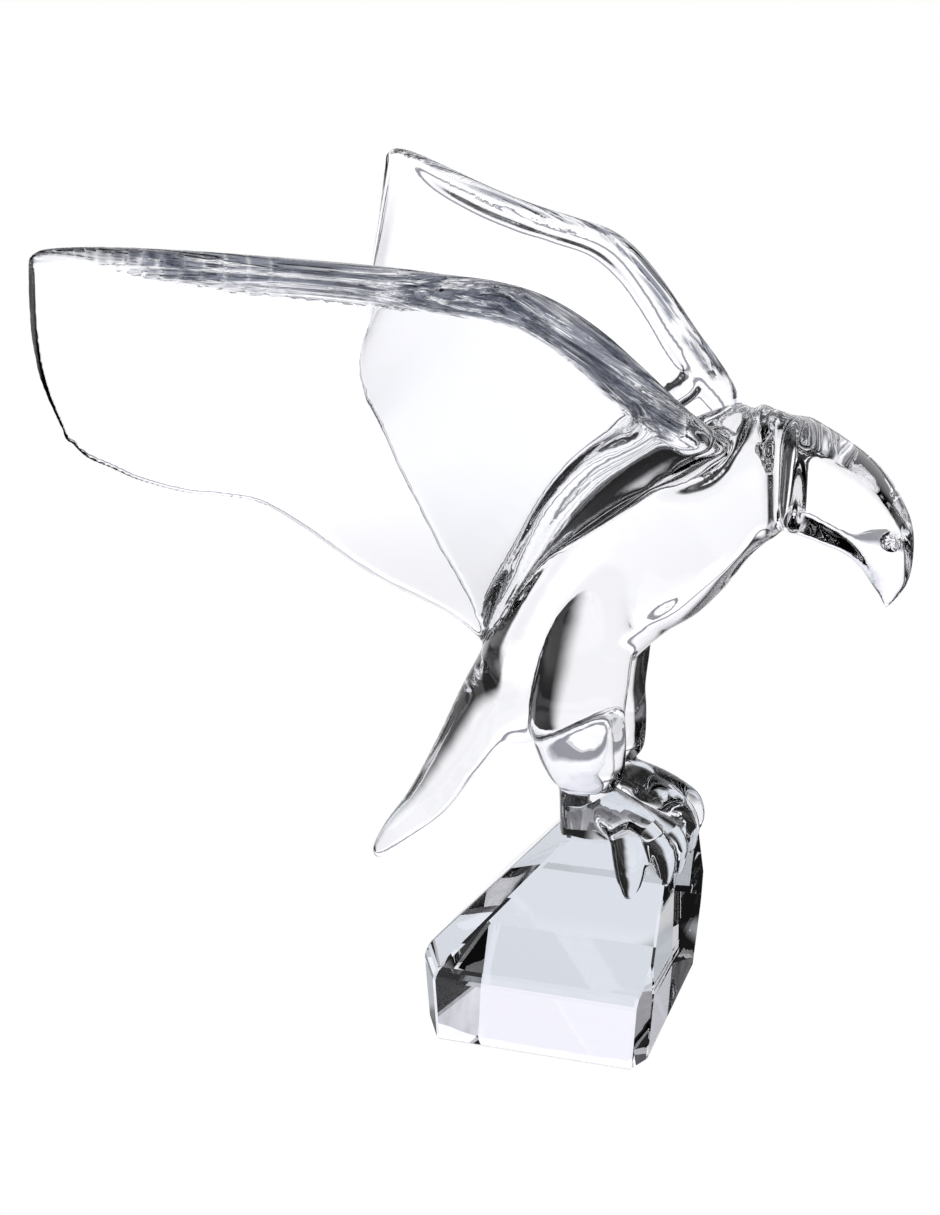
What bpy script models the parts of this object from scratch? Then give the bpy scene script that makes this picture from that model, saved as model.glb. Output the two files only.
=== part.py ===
# Crystal eagle sculpture: a solid, clear lead-crystal eagle with raised wings, cast in one piece
# with the bevelled block that it perches on.
#
# The origin is on the table, under the middle of the block. The eagle faces +X, its wings
# spread along Y, and the two halves mirror each other in the XZ plane.
# The figure's pose and proportions are written in hundredths of its own height, measured from
# the perch: the middle of the front edge of the block's top. x runs forward, y outward, z up.

import math

import bmesh
import bpy
from mathutils import Vector

# Driving sizes, in metres
FIGURE_HEIGHT = 0.187          # from the perch up to the wing tips

BLOCK_HEIGHT = 0.064           # table to perch
GIRDLE_HEIGHT = 0.0235         # plinth, up to the widest line of the block
BLOCK_LENGTH = 0.075           # along X, at the girdle
BLOCK_WIDTH = 0.083            # along Y, at the girdle
TOP_LENGTH = 0.0365            # of the small flat top, which ends at the block's front face
TOP_WIDTH = 0.038
FOOT_DRAFT = 0.0018            # how far the plinth draws in from the girdle to the table
REAR_CORNER_LENGTH = 0.008     # corner cut off the girdle at the rear, along X
REAR_CORNER_WIDTH = 0.015      # and along Y
REAR_CORNER_TOP_WIDTH = 0.011  # the same cut along Y, at the block's top
REAR_SKEW = 0.007              # how far forward the rear slope's left end comes
FRONT_CORNER_LENGTH = 0.006    # corner cut off the plinth's foot at the front, along X
FRONT_CORNER_WIDTH = 0.0135    # and along Y
FRONT_CORNER_RISE = 0.6        # what is left of that cut at the girdle, as a share
GIRDLE_BEVEL = 0.0018
EDGE_BEVEL = 0.0007

WING_RIM = 0.0120              # thickness of the leading edge at the wrist
WING_WEB = 0.0052              # thickness of the plate behind the rim
WING_BACK_EDGE = 0.0026        # thickness of the trailing edge
ANKLE_SPACING = 0.026          # between the middles of the two ankles

VOXEL = 0.0010                 # cell of the mesh that melts the figure's forms into one
FIGURE_FACES = 9400            # triangles that the figure keeps

SHARE = FIGURE_HEIGHT / 100
PERCH = Vector((BLOCK_LENGTH / 2, 0, BLOCK_HEIGHT))
RING = 32                      # points round a round section


def figure_point(x, y, z):
    """A point given in hundredths of the figure's height, as metres in the part's frame."""
    return PERCH + SHARE * Vector((x, y, z))


def smooth_rows(rows, steps):
    """Catmull-Rom curve through rows of numbers, with the given steps between each two."""
    out = []
    last = len(rows) - 1
    for i in range(last):
        before, after = rows[max(i - 1, 0)], rows[min(i + 2, last)]
        for k in range(steps):
            t = k / steps
            out.append([
                0.5 * (2 * q + (r - p) * t + (2 * p - 5 * q + 4 * r - s) * t ** 2
                       + (3 * q - p - 3 * r + s) * t ** 3)
                for p, q, r, s in zip(before, rows[i], rows[i + 1], after)
            ])
    out.append(list(rows[last]))
    return out


def oval(middle, deep, wide):
    """A level oval ring, with its half sizes along X and Y."""
    angles = [2 * math.pi * k / RING for k in range(RING)]
    return [middle + Vector((deep * math.cos(a), wide * math.sin(a), 0)) for a in angles]


def loft(bm, rings):
    """A closed skin over rings of points, with a fan of triangles at each end."""
    rows = [[bm.verts.new(point) for point in ring] for ring in rings]
    count = len(rows[0])
    for row, following in zip(rows, rows[1:]):
        for i in range(count):
            j = (i + 1) % count
            bm.faces.new((row[i], row[j], following[j], following[i]))
    for row, turn in ((rows[0], -1), (rows[-1], 1)):
        middle = bm.verts.new(sum((v.co for v in row), Vector()) / count)
        for i in range(count):
            pair = (row[i], row[(i + 1) % count])[::turn]
            bm.faces.new((*pair, middle))


def mesh_object(name, bm):
    """An object made of the forms in bm, with every face pointing out."""
    bmesh.ops.recalc_face_normals(bm, faces=bm.faces)
    mesh = bpy.data.meshes.new(name)
    bm.to_mesh(mesh)
    bm.free()
    return bpy.data.objects.new(name, mesh)


# Body: from the beak's tip over the head, neck and back to the rump and the tail's tip

# Each station is the point on the back, the point on the belly, the half width, how square the
# section's upper half is, how far it has turned into the tail's roof shape, both from 0 to 1, and
# how flat its sides are: the width that a round section would have, as a share of the real one.
BODY_STATIONS = (
    ((30.7, 40.4), (30.2, 40.8), 0.5, 0, 0, 1),
    ((32.4, 42.6), (29.4, 42.5), 1.2, 0, 0, 1),
    ((33.8, 45.4), (28.0, 44.5), 2.2, 0, 0, 1.2),
    ((34.2, 50.0), (26.5, 46.9), 3.9, 0, 0, 1.4),
    ((33.5, 54.4), (24.5, 49.0), 5.3, 0, 0, 1.55),
    ((31.0, 58.9), (22.8, 50.0), 6.4, 0, 0, 1.6),
    ((27.5, 62.9), (21.0, 50.6), 7.2, 0, 0, 1.6),
    ((22.9, 66.1), (18.0, 51.6), 7.9, 0, 0, 1.6),
    ((17.7, 68.8), (15.8, 52.0), 8.5, 0, 0, 1.6),
    ((13.4, 70.2), (14.2, 51.5), 7.3, 0, 0, 1.3),
    ((9.4, 70.6), (12.3, 50.0), 8.8, 0.1, 0, 1.3),
    ((5.6, 62.6), (10.2, 48.0), 10.1, 0.7, 0, 1.4),
    ((0.4, 59.6), (7.7, 44.6), 10.8, 1, 0, 1.4),
    ((-7.4, 58.9), (4.8, 40.6), 11.0, 1, 0, 1.4),
    ((-15.6, 52.9), (1.4, 37.0), 11.0, 1, 0, 1.4),
    ((-22.6, 45.4), (-2.4, 34.3), 10.7, 0.9, 0, 1.3),
    ((-28.6, 36.8), (-6.6, 30.4), 10.0, 0.7, 0, 1.2),
    ((-32.8, 30.4), (-12.4, 23.6), 9.0, 0.4, 0, 1.1),
    ((-35.6, 25.2), (-21.5, 13.2), 7.8, 0.1, 0.2, 1),
    ((-38.4, 19.6), (-28.6, 10.9), 6.8, 0, 0.5, 1),
    ((-42.7, 10.0), (-34.2, 5.4), 6.4, 0, 0.8, 1),
    ((-47.5, 0.4), (-40.3, -2.8), 5.2, 0, 0.8, 1),
    ((-51.9, -6.2), (-46.4, -8.2), 3.8, 0, 0.75, 1),
    ((-54.2, -10.8), (-50.6, -11.6), 2.3, 0, 0.65, 1),
    ((-54.2, -12.8), (-52.6, -13.2), 1.0, 0, 0.5, 1),
)
SQUARE_POWER = 0.55            # of the sine and cosine in the squarest section
TAIL_HOLLOW = 0.3              # depth of the groove under the tail, as a share of its height
EAVE = 2 / 3                   # how far round the section the tail's lower edge comes

# The ridge of the back, between the wings: a point on top, one inside the body, the half width
RIDGE_STATIONS = (
    ((13.2, 69.6), (9.4, 60.0), 6.4),
    ((7.8, 70.0), (4.4, 57.0), 7.5),
    ((2.0, 68.6), (-1.2, 54.4), 8.0),
    ((-4.6, 65.8), (-7.4, 51.0), 8.1),
    ((-11.6, 60.6), (-13.4, 46.6), 7.8),
    ((-18.2, 53.8), (-19.4, 41.6), 7.2),
    ((-24.4, 45.8), (-25.0, 35.6), 6.2),
    ((-29.6, 37.2), (-29.6, 30.0), 4.6),
    ((-32.8, 31.0), (-31.6, 26.6), 2.6),
)


def body_ring(back, belly, half_width, square, roof, flat):
    """A ring between a point on the back and one on the belly: round, square or roof-shaped."""
    middle = (back + belly) / 2
    up = (back - belly) / 2
    points = []
    for i in range(RING):
        angle = 2 * math.pi * i / RING
        side = 1 if i <= RING // 2 else -1
        turn = min(i, RING - i) / (RING / 2)
        wide, high = abs(math.sin(angle)), math.cos(angle)
        if high > 0:
            power = 1 - square * (1 - SQUARE_POWER)
            wide, high = wide ** power, high ** power
        wide = min(flat * wide, 1)
        if turn < EAVE:
            roof_wide, roof_high = turn / EAVE, 1 - 2 * turn / EAVE
        else:
            inward = (turn - EAVE) / (1 - EAVE)
            roof_wide, roof_high = 1 - inward, -1 + 2 * TAIL_HOLLOW * inward
        wide += (roof_wide - wide) * roof
        high += (roof_high - high) * roof
        points.append(middle + up * high + Vector((0, side * wide * half_width, 0)))
    return points


def add_body(bm):
    rows = [(*station[0], *station[1], *station[2:]) for station in BODY_STATIONS]
    rings = []
    for back_x, back_z, belly_x, belly_z, half, square, roof, flat in smooth_rows(rows, 4):
        back, belly = figure_point(back_x, 0, back_z), figure_point(belly_x, 0, belly_z)
        square, roof = (max(0, min(1, share)) for share in (square, roof))
        rings.append(body_ring(back, belly, half * SHARE, square, roof, max(flat, 1)))
    loft(bm, rings)
    rows = [(*top, *inside, half) for top, inside, half in RIDGE_STATIONS]
    rings = []
    for top_x, top_z, inside_x, inside_z, half in smooth_rows(rows, 4):
        top, inside = figure_point(top_x, 0, top_z), figure_point(inside_x, 0, inside_z)
        rings.append(body_ring(top, inside, half * SHARE, 0, 0, 1))
    loft(bm, rings)


# Wings: plates with a thick leading edge, swept up, out and back

# Each station is the middle of the leading edge's rim, the trailing edge, the rim's thickness as
# a share of WING_RIM, and how far the plate bulges outward along the span in mid-chord.
WING_STATIONS = (
    ((7.2, 2.5, 65.0), (-33.6, 0.6, 28.6), 0.95, 0),
    ((4.6, 8.6, 66.8), (-34.6, 2.0, 30.4), 1.0, 0),
    ((-0.3, 14.4, 70.7), (-37.0, 4.6, 33.8), 1.0, 0),
    ((-6.3, 17.2, 76.8), (-40.6, 8.0, 37.2), 0.93, 0),
    ((-11.4, 20.6, 82.5), (-45.4, 12.6, 41.2), 0.86, 0),
    ((-17.2, 25.1, 87.5), (-50.0, 17.2, 45.8), 0.8, 0),
    ((-23.1, 29.5, 90.3), (-56.1, 22.6, 52.6), 0.79, 0),
    ((-30.7, 33.2, 91.7), (-60.8, 27.8, 57.4), 0.78, 0),
    ((-38.1, 36.8, 92.9), (-64.8, 33.2, 59.6), 0.76, 0),
    ((-47.5, 43.5, 94.5), (-68.4, 38.5, 61.2), 0.73, 0),
    ((-59.0, 53.7, 96.8), (-72.1, 45.5, 64.4), 0.64, 0.5),
    ((-67.6, 62.2, 98.9), (-74.1, 50.8, 67.4), 0.4, 1.3),
    ((-72.6, 67.0, 99.4), (-75.4, 55.4, 69.9), 0.32, 2.1),
    ((-74.1, 68.3, 98.9), (-76.0, 58.4, 72.7), 0.28, 2.3),
    ((-74.4, 68.8, 98.5), (-76.7, 60.8, 77.2), 0.26, 2.0),
)
WING_CAMBER = 0.035            # how far the plate bows inward, as a share of the chord
RIM_FADE = 1.6                 # rim radii over which the rim thins down to the plate
RIM_TURNS = (-1, -0.8, -0.4, 0.1, 0.6, 1.1, 1.7)
PLATE_SHARES = (0.14, 0.28, 0.42, 0.56, 0.70, 0.84, 0.94, 1)


ROUND_START = ((-0.87, 0.5), (-0.5, 0.87), (0, 1))
ROUND_END = ((0, 1), (0.5, 0.87), (0.87, 0.5))


def half_thickness(distance, chord, radius):
    """Half the wing's thickness at a distance behind the middle of its rim."""
    if distance < 0:
        return math.sqrt(radius ** 2 - distance ** 2)
    plate = (WING_WEB + (WING_BACK_EDGE - WING_WEB) * distance / chord) / 2
    fade = min(distance / (RIM_FADE * radius), 1)
    return plate + max(radius - plate, 0) * (0.5 + 0.5 * math.cos(math.pi * fade))


def wing_ring(front, back, outward, radius, bulge, side, shift=0, size=1):
    """A closed wing section: back along the outer face and forward along the inner one.

    A ring of the rounded tip is shifted outward, in rim radii, and is thinner in all.
    """
    along = back - front
    chord = along.length
    along.normalize()
    outward = (outward - along * outward.dot(along)).normalized()
    outer_normal = outward.cross(along) * side
    plate_start = RIM_TURNS[-1] * radius
    distances = [turn * radius for turn in RIM_TURNS]
    distances += [plate_start + (chord - plate_start) * share for share in PLATE_SHARES]
    sections = [(distance, half_thickness(distance, chord, radius)) for distance in distances]
    edge = WING_BACK_EDGE / 2
    sections += [(chord + edge * turn, edge * high) for turn, high in ROUND_END[1:]]
    outer, inner = [], []
    for distance, half in sections:
        hump = math.sin(math.pi * max(min(distance / chord, 1), 0))
        middle = front + along * distance + outward * (bulge * hump + shift * radius)
        middle -= outer_normal * WING_CAMBER * chord * hump
        outer.append(middle + outer_normal * half * size)
        inner.append(middle - outer_normal * half * size)
    heel = back + along * edge
    return outer + [heel + outward * shift * radius] + inner[:0:-1]


def add_wing(bm, side):
    rows = [(*front, *back, rim, bulge) for front, back, rim, bulge in WING_STATIONS]
    rows = smooth_rows(rows, 3)
    fronts = [figure_point(row[0], side * row[1], row[2]) for row in rows]
    backs = [figure_point(row[3], side * row[4], row[5]) for row in rows]
    middles = [(front + back) / 2 for front, back in zip(fronts, backs)]
    rings = []
    for i, row in enumerate(rows):
        outward = middles[min(i + 1, len(rows) - 1)] - middles[max(i - 1, 0)]
        radius = row[6] * WING_RIM / 2
        for shift, size in ROUND_END if i == len(rows) - 1 else ((0, 1),):
            inward = (backs[i] - fronts[i]).normalized() * radius * (1 - size)
            rings.append(wing_ring(
                fronts[i] + inward, backs[i] - 3 * inward, outward, radius, row[7] * SHARE,
                side, shift, size))
    loft(bm, rings)


# Round limbs: the lip along each wing's root, and the toes

# Each station is x, y, z and the radius. The lip runs from the shoulder down to the rump.
LIP = (
    (-8.0, 17.6, 76.4, 1.6),
    (-5.0, 17.3, 75.0, 2.1),
    (-3.2, 17.0, 72.8, 2.3),
    (-4.4, 16.4, 69.8, 2.3),
    (-8.4, 15.7, 66.8, 2.2),
    (-12.9, 14.8, 63.5, 2.1),
    (-16.9, 13.7, 59.2, 2.0),
    (-20.3, 12.5, 54.5, 1.8),
    (-23.6, 11.0, 48.8, 1.7),
    (-26.6, 9.4, 43.5, 1.6),
    (-29.5, 7.6, 37.9, 1.4),
    (-31.6, 6.0, 33.5, 1.1),
)
INNER_TOE = (
    (-10.8, 6.4, 5.0, 3.0),
    (-6.9, 5.8, 3.2, 2.7),
    (-3.8, 5.1, 1.9, 2.4),
    (-1.1, 4.6, 0.4, 2.2),
    (0.2, 4.5, -2.4, 1.9),
    (0.2, 4.4, -5.8, 1.2),
)
MIDDLE_TOE = (
    (-10.8, 6.8, 5.0, 3.0),
    (-6.7, 7.9, 3.6, 2.8),
    (-3.6, 9.2, 1.9, 2.5),
    (-1.2, 10.2, -0.1, 2.3),
    (-0.3, 11.0, -2.8, 1.8),
    (-0.3, 11.4, -4.8, 1.2),
)
OUTER_TOE = (
    (-11.2, 7.4, 4.8, 3.0),
    (-8.6, 8.8, 3.4, 3.0),
    (-6.9, 10.1, 1.4, 2.9),
    (-6.0, 11.3, -1.8, 2.9),
    (-5.6, 12.4, -4.8, 2.4),
    (-5.4, 13.4, -7.0, 1.3),
)
REAR_TOE = (
    (-14.4, 6.4, 3.6, 2.6),
    (-16.4, 6.6, 1.8, 2.0),
    (-17.6, 6.8, 0.6, 1.5),
)


def add_limb(bm, stations, side):
    """A tapered round limb with half-round ends."""
    rows = smooth_rows(stations, 3)
    points = [figure_point(x, side * y, z) for x, y, z, _ in rows]
    rings = []
    for i, row in enumerate(rows):
        along = points[min(i + 1, len(rows) - 1)] - points[max(i - 1, 0)]
        turn = along.to_track_quat('Z', 'Y')
        radius = row[3] * SHARE
        steps = {0: ROUND_START, len(rows) - 1: ROUND_END}.get(i, ((0, 1),))
        for shift, size in steps:
            ring = oval(Vector((0, 0, radius * shift)), radius * size, radius * size)
            rings.append([points[i] + turn @ point for point in ring])
    loft(bm, rings)


# Legs: deep thighs that taper to the ankle and widen again on the block

# Each station is x, z, how far out it stands as a share of the ankle's place, and the half
# sizes along X and Y.
LEG_STATIONS = (
    (-10.4, 52.0, 0.5, 3.0, 3.0),
    (-11.2, 48.0, 0.62, 5.6, 4.8),
    (-12.4, 42.5, 0.74, 7.2, 5.6),
    (-13.8, 36.5, 0.84, 7.9, 5.9),
    (-14.8, 31.0, 0.93, 7.8, 5.9),
    (-15.6, 25.7, 0.98, 7.6, 5.8),
    (-16.1, 20.9, 1.0, 7.6, 5.7),
    (-16.0, 16.6, 1.0, 7.8, 5.4),
    (-15.4, 12.6, 1.0, 7.2, 4.9),
    (-14.9, 10.2, 1.0, 6.4, 4.6),
    (-14.8, 8.8, 1.0, 5.6, 4.2),
    (-14.7, 7.7, 1.0, 4.5, 3.4),
    (-14.5, 4.3, 1.0, 4.5, 3.2),
    (-14.0, 1.6, 1.0, 4.9, 3.1),
    (-13.4, -2.1, 1.0, 5.2, 2.8),
)


def add_leg(bm, side):
    rings = []
    for x, z, out, deep, wide in smooth_rows(LEG_STATIONS, 3):
        middle = figure_point(x, 0, z)
        middle.y = side * out * ANKLE_SPACING / 2
        rings.append(oval(middle, deep * SHARE, wide * SHARE))
    loft(bm, rings)


def make_figure():
    """The whole eagle, as forms that overlap and are melted into one skin later."""
    bm = bmesh.new()
    add_body(bm)
    for side in (-1, 1):
        add_wing(bm, side)
        add_leg(bm, side)
        for limb in (LIP, INNER_TOE, MIDDLE_TOE, OUTER_TOE, REAR_TOE):
            add_limb(bm, limb, side)
    return mesh_object("crystal_eagle", bm)


# Block: a cube ground down by flat cuts, as a glass cutter would, and its edges broken

SHARP = math.radians(12)       # edges between flats that meet at more than this are broken


def grind(bm, *points):
    """Cut away all that lies outside the plane through three points."""
    a, b, c = (Vector(point) for point in points)
    normal = (b - a).cross(c - a).normalized()
    if normal.dot(a - Vector((0, 0, BLOCK_HEIGHT / 2))) < 0:
        normal.negate()
    everything = bm.verts[:] + bm.edges[:] + bm.faces[:]
    cut = bmesh.ops.bisect_plane(
        bm, geom=everything, dist=1e-7, plane_co=a, plane_no=normal, clear_outer=True)
    rim = [item for item in cut["geom_cut"] if isinstance(item, bmesh.types.BMEdge)]
    bmesh.ops.contextual_create(bm, geom=rim)


def break_edges(bm, width, is_chosen):
    chosen = [edge for edge in bm.edges if is_chosen(edge)]
    bmesh.ops.bevel(
        bm, geom=chosen, offset=width, offset_type='OFFSET', segments=1, profile=0.5,
        affect='EDGES', clamp_overlap=True)


def lies_on_girdle(edge):
    return all(abs(v.co.z - GIRDLE_HEIGHT) < GIRDLE_BEVEL / 10 for v in edge.verts)


def stands_above_foot(edge):
    return edge.calc_face_angle(0) > SHARP and max(v.co.z for v in edge.verts) > EDGE_BEVEL


def make_block():
    front, rear = BLOCK_LENGTH / 2, -BLOCK_LENGTH / 2
    wide, top_wide = BLOCK_WIDTH / 2, TOP_WIDTH / 2
    foot, girdle, top = 0, GIRDLE_HEIGHT, BLOCK_HEIGHT
    top_rear = front - TOP_LENGTH
    bm = bmesh.new()
    bmesh.ops.create_cube(bm, size=1)
    bmesh.ops.scale(bm, vec=(BLOCK_LENGTH, BLOCK_WIDTH, BLOCK_HEIGHT), verts=bm.verts)
    bmesh.ops.translate(bm, vec=(0, 0, BLOCK_HEIGHT / 2), verts=bm.verts)
    rear_corner = wide - REAR_CORNER_WIDTH
    # Rear slope and the plinth's rear, which run a little askew, then the plinth's front
    rear_line = ((rear, -rear_corner, girdle), (rear + REAR_SKEW, wide, girdle))
    grind(bm, *rear_line, (top_rear, REAR_CORNER_TOP_WIDTH - top_wide, top))
    grind(bm, *rear_line, (rear + FOOT_DRAFT, -rear_corner, foot))
    grind(bm, (front, -1, girdle), (front, 1, girdle), (front - FOOT_DRAFT, 0, foot))
    # Rear corner on the right, above the girdle and below it
    corner_line = ((rear, -rear_corner, girdle), (rear + REAR_CORNER_LENGTH, -wide, girdle))
    grind(bm, *corner_line, (top_rear, REAR_CORNER_TOP_WIDTH - top_wide, top))
    grind(bm, *corner_line, (rear + FOOT_DRAFT, -rear_corner, foot))
    for side in (-1, 1):
        flank = side * wide
        # Leaning flank, the plinth's side and the plinth's front corner
        grind(bm, (-1, flank, girdle), (1, flank, girdle), (0, side * top_wide, top))
        grind(bm, (-1, flank, girdle), (1, flank, girdle),
              (0, side * (wide - FOOT_DRAFT), foot))
        grind(bm, (front, side * (wide - FRONT_CORNER_WIDTH), foot),
              (front - FRONT_CORNER_LENGTH, flank, foot),
              (front, side * (wide - FRONT_CORNER_WIDTH * FRONT_CORNER_RISE), girdle))
    break_edges(bm, GIRDLE_BEVEL, lies_on_girdle)
    break_edges(bm, EDGE_BEVEL, stands_above_foot)
    bmesh.ops.triangulate(bm, faces=bm.faces)
    return mesh_object("block", bm)


def clear_crystal():
    """Clear, colourless, fire-polished lead crystal."""
    material = bpy.data.materials.new("clear_crystal")
    material.use_nodes = True
    shader = material.node_tree.nodes["Principled BSDF"]
    shader.inputs["Base Color"].default_value = (0.97, 0.98, 1.0, 1)
    shader.inputs["Roughness"].default_value = 0.02
    shader.inputs["Metallic"].default_value = 0
    shader.inputs["IOR"].default_value = 1.54
    shader.inputs["Transmission Weight"].default_value = 1
    material.diffuse_color = (0.8, 0.85, 0.9, 1)
    return material


def melted(thing):
    """The object's mesh once its forms have run together into one fire-polished skin."""
    melt = thing.modifiers.new("melt into one skin", 'REMESH')
    melt.mode = 'VOXEL'
    melt.voxel_size = VOXEL
    flow = thing.modifiers.new("fire polish", 'SMOOTH')
    flow.factor = 0.5
    flow.iterations = 7
    evaluated = thing.evaluated_get(bpy.context.evaluated_depsgraph_get())
    mesh = bpy.data.meshes.new_from_object(evaluated)
    thing.modifiers.clear()
    mesh.shade_smooth()
    return mesh


def build():
    for old in list(bpy.context.scene.objects):
        bpy.data.objects.remove(old, do_unlink=True)
    parts = bpy.data.collections.new("crystal eagle sculpture")
    cutters = bpy.data.collections.new("cutters")
    for collection in (parts, cutters):
        bpy.context.scene.collection.children.link(collection)

    block = make_block()
    cutters.objects.link(block)
    block.hide_render = True
    block.display_type = 'WIRE'

    eagle = make_figure()
    parts.objects.link(eagle)
    eagle.data = melted(eagle)
    eagle.data.materials.append(clear_crystal())
    eagle.data.calc_loop_triangles()
    thin = eagle.modifiers.new("fewer faces", 'DECIMATE')
    thin.ratio = min(1, FIGURE_FACES / len(eagle.data.loop_triangles))
    cast = eagle.modifiers.new("cast with the block", 'BOOLEAN')
    cast.operation = 'UNION'
    cast.solver = 'EXACT'
    cast.object = block


build()
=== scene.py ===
import math

import bmesh
import bpy
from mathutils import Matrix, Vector, kdtree


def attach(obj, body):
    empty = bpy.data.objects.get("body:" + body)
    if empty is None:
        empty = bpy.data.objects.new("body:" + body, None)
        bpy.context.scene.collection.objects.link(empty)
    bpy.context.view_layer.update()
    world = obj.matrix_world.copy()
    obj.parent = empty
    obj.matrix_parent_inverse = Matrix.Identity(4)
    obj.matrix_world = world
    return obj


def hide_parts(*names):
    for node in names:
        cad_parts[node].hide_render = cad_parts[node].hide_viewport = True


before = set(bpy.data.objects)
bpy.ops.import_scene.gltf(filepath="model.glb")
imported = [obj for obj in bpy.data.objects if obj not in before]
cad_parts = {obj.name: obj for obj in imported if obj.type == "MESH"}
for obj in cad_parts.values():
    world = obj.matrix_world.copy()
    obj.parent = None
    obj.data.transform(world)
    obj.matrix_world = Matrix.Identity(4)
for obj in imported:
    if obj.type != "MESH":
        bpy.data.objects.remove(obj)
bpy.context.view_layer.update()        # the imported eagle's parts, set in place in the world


# Studio: a plain white table and room, which is all that the camera sees. What the crystal
# refracts is another pattern, tuned to the photo's view: a bright wall behind, a grey-blue card
# under the block, and darker table and room between them, which give it its dark lines.

bpy.ops.object.select_all(action='DESELECT')
bpy.ops.mesh.primitive_plane_add(size=40, location=(0, 0, -0.0004))
table = bpy.context.object
table.name = "table"

AHEAD, ACROSS = (-0.309, 0.951, 0), (0.951, 0.309, 0)   # along the table, as the camera looks
table_white = bpy.data.materials.new("table_white")
table_white.use_nodes = True
room = bpy.data.worlds.new("studio_room")
bpy.context.scene.world = room
room.use_nodes = True


def value_node(tree, kind, operation, *inputs):
    """A math or vector math node with its inputs linked or set; gives its first output."""
    node = tree.nodes.new(kind)
    node.operation = operation
    for socket, given in zip(node.inputs, inputs):
        if isinstance(given, bpy.types.NodeSocket):
            tree.links.new(given, socket)
        else:
            socket.default_value = given
    return node.outputs["Value"]


def soft_step(tree, given, low, high, below=0, over=1):
    """A value that eases from below to over while the given one goes from low to high."""
    node = tree.nodes.new('ShaderNodeMapRange')
    node.interpolation_type = 'SMOOTHSTEP'
    for name, number in (("From Min", low), ("From Max", high), ("To Min", below),
                         ("To Max", over)):
        node.inputs[name].default_value = number
    tree.links.new(given, node.inputs["Value"])
    return node.outputs["Result"]


def bright_sector(tree, place, shift):
    """1 towards the wall behind the sculpture, as the camera stands, 0 to the sides and front."""
    ahead = value_node(tree, 'ShaderNodeVectorMath', 'DOT_PRODUCT', place, AHEAD)
    across = value_node(tree, 'ShaderNodeVectorMath', 'DOT_PRODUCT', place, ACROSS)
    reach = value_node(tree, 'ShaderNodeMath', 'ADD', ahead, shift)
    turn = value_node(tree, 'ShaderNodeMath', 'ARCTAN2', across, reach)
    left = soft_step(tree, turn, math.radians(-40), math.radians(-28))
    right = soft_step(tree, turn, math.radians(62), math.radians(50))
    return ahead, across, value_node(tree, 'ShaderNodeMath', 'MULTIPLY', left, right)


tree = table_white.node_tree
place = tree.nodes.new('ShaderNodeNewGeometry').outputs["Position"]
ahead, across, sector = bright_sector(tree, place, 0.1)
# bright past an oblique line that runs by the block, and dimmer again far away
askew = value_node(tree, 'ShaderNodeMath', 'MULTIPLY_ADD', across, -1.6, ahead)
rise = value_node(tree, 'ShaderNodeMath', 'ADD', soft_step(tree, askew, 0.01, 0.13, 0, 1.02),
                  soft_step(tree, ahead, 0.40, 0.80, 0, 0.23))
wall = value_node(tree, 'ShaderNodeMath', 'MULTIPLY', sector, rise)
wall = value_node(tree, 'ShaderNodeMath', 'MULTIPLY', wall, soft_step(tree, ahead, 5, 8, 1, 0.3))
# bright further out on the left, in front and on the right, for views from the other sides
aside = value_node(tree, 'ShaderNodeMath', 'MAXIMUM',
                   soft_step(tree, across, -0.45, -0.7, 0.02, 0.8),
                   soft_step(tree, ahead, -0.6, -0.9, 0, 0.85))
wall = value_node(tree, 'ShaderNodeMath', 'MAXIMUM', wall, aside)
wall = value_node(tree, 'ShaderNodeMath', 'MAXIMUM', wall,
                  soft_step(tree, across, 0.8, 1.2, 0, 0.8))
# the card, under the half of the block that is away from the camera
beneath = value_node(tree, 'ShaderNodeMath', 'MULTIPLY_ADD', across, -0.5, ahead)
from_middle = value_node(tree, 'ShaderNodeVectorMath', 'LENGTH', place)
card = value_node(tree, 'ShaderNodeMath', 'MULTIPLY', soft_step(tree, beneath, 0.006, 0.018),
                  soft_step(tree, from_middle, 0.068, 0.082, 1, 0))
glow = value_node(tree, 'ShaderNodeMath', 'MAXIMUM', wall, card)
paper = tree.nodes.new('ShaderNodeMix')
paper.data_type = 'RGBA'
tree.links.new(card, paper.inputs["Factor"])
for socket, colour in (("A", (0.98, 0.98, 1.0, 1)), ("B", (0.78, 0.82, 0.88, 1))):
    next(given for given in paper.inputs
         if given.name == socket and given.type == 'RGBA').default_value = colour
shader = tree.nodes["Principled BSDF"]
shader.inputs["Base Color"].default_value = (0, 0, 0, 1)
shader.inputs["Specular IOR Level"].default_value = 0
shader.inputs["Roughness"].default_value = 0.9
tree.links.new(next(made for made in paper.outputs if made.type == 'RGBA'),
               shader.inputs["Emission Color"])
tree.links.new(glow, shader.inputs["Emission Strength"])
white = tree.nodes.new('ShaderNodeEmission')
which = tree.nodes.new('ShaderNodeMixShader')
tree.links.new(tree.nodes.new('ShaderNodeLightPath').outputs["Is Camera Ray"],
               which.inputs["Fac"])
tree.links.new(shader.outputs["BSDF"], which.inputs[1])
tree.links.new(white.outputs["Emission"], which.inputs[2])
tree.links.new(which.outputs["Shader"], tree.nodes["Material Output"].inputs["Surface"])
table.data.materials.append(table_white)

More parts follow.
